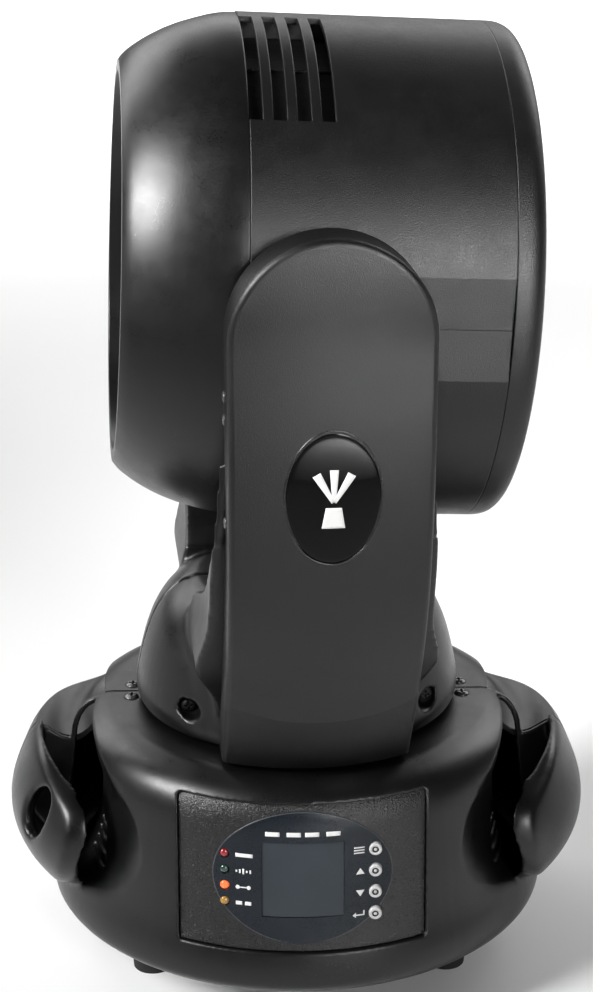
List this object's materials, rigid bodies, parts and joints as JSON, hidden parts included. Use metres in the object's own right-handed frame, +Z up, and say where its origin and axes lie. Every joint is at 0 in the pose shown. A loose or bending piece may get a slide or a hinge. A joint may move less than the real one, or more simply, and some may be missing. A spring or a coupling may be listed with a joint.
{
  "type": "moving head light",
  "caption": "Moving head wash light: drum-shaped head tilting between the arms of a yoke that pans on a round base with side handles, a control panel and rubber feet.",
  "frame": {"origin": "on the floor, under the pan axis, which is the centre of the base", "axes": "+Z up along the pan axis; the base's control panel faces -Y; the handles are at +X and -X"},
  "size_m": [0.29, 0.2904, 0.4608],
  "materials": {
    "shell_plastic": "fine moulded grain",
    "satin_plastic": "smooth satin moulding",
    "dark_plastic": "matte",
    "overlay_film": "satin printed film",
    "lcd_glass": "glossy, unlit",
    "lamp_lens": "clear tinted",
    "button_cap": "smooth",
    "badge_dome": "high gloss",
    "screw_steel": "bright",
    "steel_frame": "powder coat",
    "bright_steel": "machined",
    "aluminium": "anodised",
    "plate_paint": "powder coat",
    "rubber": "matte",
    "belt_rubber": "matte",
    "circuit_board": "solder mask",
    "white_board": "white solder mask",
    "optic": "clear optic",
    "lens_plate": "matte",
    "motor_black": "satin",
    "socket_metal": "nickel"
  },
  "bodies": {
    "base": {"base_front_shell": "satin_plastic", "base_rear_shell": "satin_plastic", "base_bottom_plate": "plate_paint", "rubber_feet": "rubber", "control_panel_plate": "shell_plastic", "panel_overlay": "overlay_film", "lcd_window": "lcd_glass", "status_leds": "lamp_lens", "display_board": "circuit_board", "connector_panel": "plate_paint", "power_inlet": "dark_plastic", "fuse_holder": "dark_plastic", "data_inputs": "socket_metal", "data_outputs": "socket_metal", "base_deck": "steel_frame", "pan_bearing": "bright_steel", "pan_motor": "motor_black", "pan_motor_mount": "steel_frame", "pan_belt": "belt_rubber", "power_supply": "aluminium", "main_board": "circuit_board", "base_screws": "screw_steel"},
    "yoke": {"yoke_frame": "steel_frame", "pan_shaft": "bright_steel", "pan_pulley": "aluminium", "yoke_cover_near": "satin_plastic", "yoke_cover_far": "satin_plastic", "arm_cover_near": "shell_plastic", "arm_cover_far": "shell_plastic", "badge_near": "badge_dome", "badge_far": "badge_dome", "tilt_axle_near": "bright_steel", "tilt_axle_far": "bright_steel", "tilt_pulley": "aluminium", "dome_screws": "screw_steel", "arm_screws": "screw_steel", "motor_driver_board": "circuit_board"},
    "head": {"head_front_cover": "satin_plastic", "head_upper_shell": "shell_plastic", "head_lower_shell": "shell_plastic", "head_back_cap": "shell_plastic", "lens_plate": "lens_plate", "lens_array": "optic", "led_board": "white_board", "heat_sink": "aluminium", "head_bracket": "steel_frame", "tilt_bearing_near": "bright_steel", "tilt_bearing_far": "bright_steel", "tilt_motor": "motor_black", "tilt_belt": "belt_rubber", "fan_frame": "dark_plastic", "driver_board": "circuit_board", "head_screws": "screw_steel"},
    "pan_motor_pulley": {"pan_motor_pulley": "bright_steel"},
    "tilt_motor_pulley": {"tilt_motor_pulley": "bright_steel"},
    "fan_rotor": {"fan_rotor": "dark_plastic"},
    "menu_button": {"menu_button": "button_cap"},
    "up_button": {"up_button": "button_cap"},
    "down_button": {"down_button": "button_cap"},
    "enter_button": {"enter_button": "button_cap"}
  },
  "joints": [
    {"name": "pan", "type": "hinge", "parent": "base", "child": "yoke", "pos_m": [0, 0, 0.11], "axis": [0, 0, 1], "range_deg": [-274.8, 265.2]},
    {"name": "tilt", "type": "hinge", "parent": "yoke", "child": "head", "pos_m": [0, 0, 0.3435], "axis": [-0.0837, 0.9965, 0], "range_deg": [-47.8, 222.2]},
    {"name": "pan_motor_spin", "type": "hinge", "parent": "base", "child": "pan_motor_pulley", "pos_m": [-0.064, -0.008, 0.085], "axis": [0, 0, 1], "range_deg": [-1660, 1610]},
    {"name": "tilt_motor_spin", "type": "hinge", "parent": "head", "child": "tilt_motor_pulley", "pos_m": [0.06526, -0.08484, 0.34067], "axis": [-0.0837, 0.9965, 0], "range_deg": [-1120, 250]},
    {"name": "fan_spin", "type": "hinge", "parent": "head", "child": "fan_rotor", "pos_m": [0.06768, 0.00568, 0.34018], "axis": [0.9953, 0.0836, -0.0489], "continuous": true},
    {"name": "menu_press", "type": "slide", "parent": "base", "child": "menu_button", "axis": [0, 1, 0], "range_m": [0, 0.0008], "stiffness_N_per_m": 600},
    {"name": "up_press", "type": "slide", "parent": "base", "child": "up_button", "axis": [0, 1, 0], "range_m": [0, 0.0008], "stiffness_N_per_m": 600},
    {"name": "down_press", "type": "slide", "parent": "base", "child": "down_button", "axis": [0, 1, 0], "range_m": [0, 0.0008], "stiffness_N_per_m": 600},
    {"name": "enter_press", "type": "slide", "parent": "base", "child": "enter_button", "axis": [0, 1, 0], "range_m": [0, 0.0008], "stiffness_N_per_m": 600}
  ],
  "couplings": [
    {"joint": "pan_motor_spin", "follows": "pan", "ratio": 6},
    {"joint": "tilt_motor_spin", "follows": "tilt", "ratio": -5}
  ]
}
